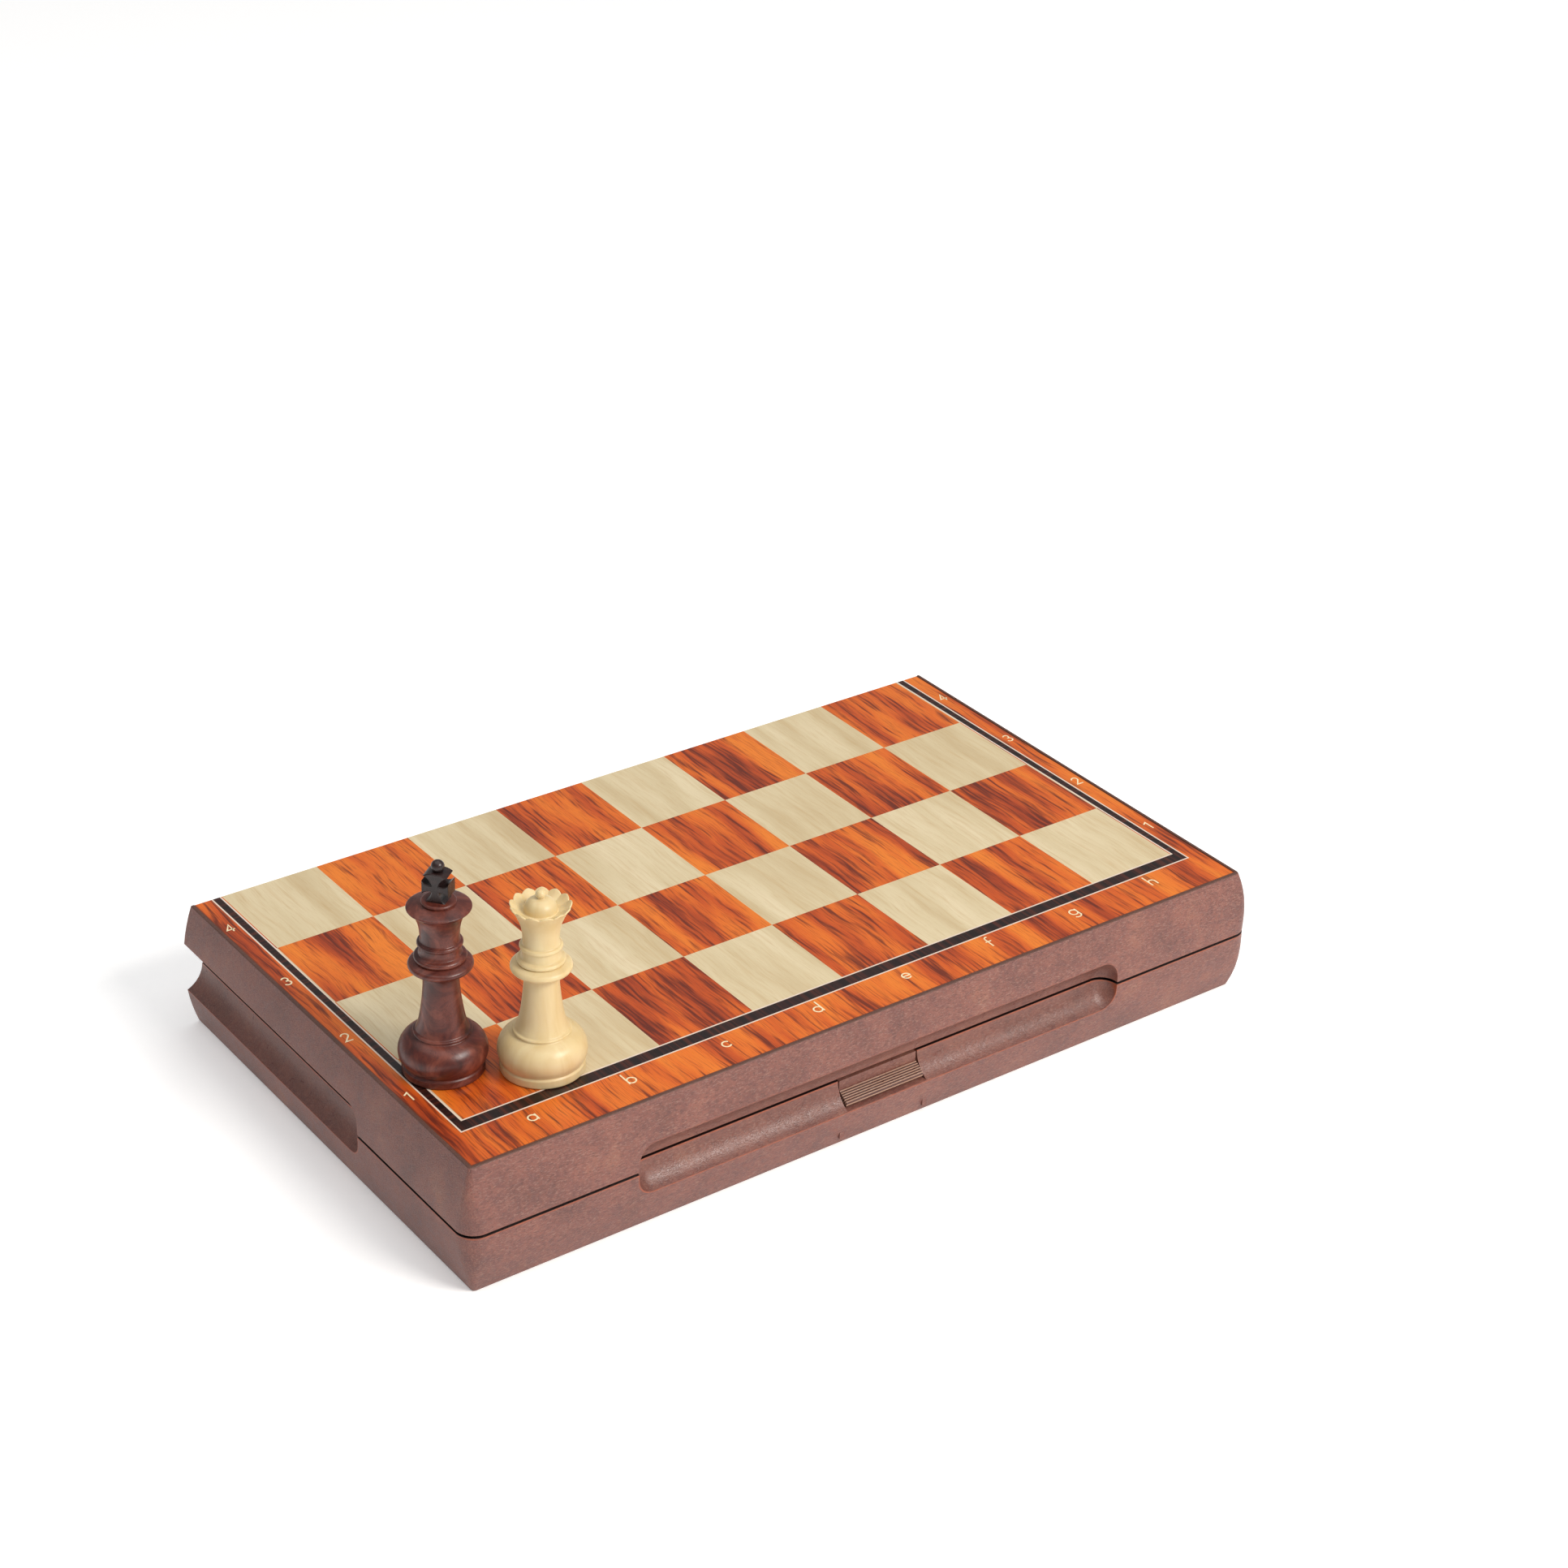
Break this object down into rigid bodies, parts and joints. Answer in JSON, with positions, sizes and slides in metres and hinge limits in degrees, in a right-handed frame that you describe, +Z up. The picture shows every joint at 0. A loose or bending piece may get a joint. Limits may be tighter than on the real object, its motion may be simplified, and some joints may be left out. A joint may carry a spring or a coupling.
{
  "type": "folding chess set",
  "caption": "Folding magnetic chess set: barrel-sided case halves hinged at the fold, a thumb latch, trays of chessmen, and a dark king and cream queen standing on the board.",
  "frame": {"origin": "middle of the underside of the closed case", "axes": "+X along the files from a to h, -Y towards the latch, +Y towards the fold and hinges, +Z up out of the upper playing surface"},
  "size_m": [0.3104, 0.182, 0.1168],
  "materials": {
    "case_plastic": "moulded wood-filled plastic, mottled brown-purple, semi-gloss",
    "printed_board": "printed laminate, rosewood and maple squares, satin",
    "sheet_steel": "rolled sheet",
    "pin_steel": "drawn wire",
    "spring_steel": "blued strip",
    "tray_flock": "formed tray with short flock",
    "dark_men": "turned-look dark walnut plastic, satin gloss",
    "dark_finial": "black-brown plastic, glossy",
    "cream_men": "cream plastic, satin",
    "magnet": "sintered ferrite",
    "felt": "green baize"
  },
  "bodies": {
    "lower_half": {"lower_case": "case_plastic", "lower_board_panel": "printed_board", "lower_steel_sheet": "sheet_steel", "hinge_pin_left": "pin_steel", "hinge_pin_right": "pin_steel", "latch_pin": "pin_steel", "latch_spring": "spring_steel", "lower_tray": "tray_flock", "dark_queen": "dark_men", "dark_bishop_1": "dark_men", "dark_bishop_2": "dark_men", "dark_knight_1": "dark_men", "dark_knight_2": "dark_men", "dark_rook_1": "dark_men", "dark_rook_2": "dark_men", "dark_pawn_1": "dark_men", "dark_pawn_2": "dark_men", "dark_pawn_3": "dark_men", "dark_pawn_4": "dark_men", "dark_pawn_5": "dark_men", "dark_pawn_6": "dark_men", "dark_pawn_7": "dark_men", "dark_pawn_8": "dark_men", "dark_stored_magnets": "magnet", "dark_stored_felts": "felt"},
    "upper_half": {"upper_case": "case_plastic", "upper_board_panel": "printed_board", "upper_steel_sheet": "sheet_steel", "upper_tray": "tray_flock", "cream_king": "cream_men", "cream_king_cross": "cream_men", "cream_bishop_1": "cream_men", "cream_bishop_2": "cream_men", "cream_knight_1": "cream_men", "cream_knight_2": "cream_men", "cream_rook_1": "cream_men", "cream_rook_2": "cream_men", "cream_pawn_1": "cream_men", "cream_pawn_2": "cream_men", "cream_pawn_3": "cream_men", "cream_pawn_4": "cream_men", "cream_pawn_5": "cream_men", "cream_pawn_6": "cream_men", "cream_pawn_7": "cream_men", "cream_pawn_8": "cream_men", "cream_stored_magnets": "magnet", "cream_stored_felts": "felt"},
    "latch": {"latch": "case_plastic"},
    "dark_king": {"dark_king": "dark_men", "dark_king_cross": "dark_finial", "dark_king_magnet": "magnet", "dark_king_felt": "felt"},
    "cream_queen": {"cream_queen": "cream_men", "cream_queen_magnet": "magnet", "cream_queen_felt": "felt"}
  },
  "joints": [
    {"name": "lid_hinge", "type": "hinge", "parent": "lower_half", "child": "upper_half", "pos_m": [0, 0.08797, 0.02225], "axis": [-1, 0, 0], "range_deg": [0, 180]},
    {"name": "latch_press", "type": "hinge", "parent": "lower_half", "child": "latch", "pos_m": [0, -0.08347, 0.00825], "axis": [-1, 0, 0], "range_deg": [0, 6], "stiffness_Nm_per_rad": 0.3, "springref_deg": -2.86, "deforming": ["latch_spring"]},
    {"name": "king_lift", "type": "slide", "parent": "upper_half", "child": "dark_king", "axis": [0, 0, 1], "range_m": [0, 0.1]},
    {"name": "queen_lift", "type": "slide", "parent": "upper_half", "child": "cream_queen", "axis": [0, 0, 1], "range_m": [0, 0.1]}
  ]
}
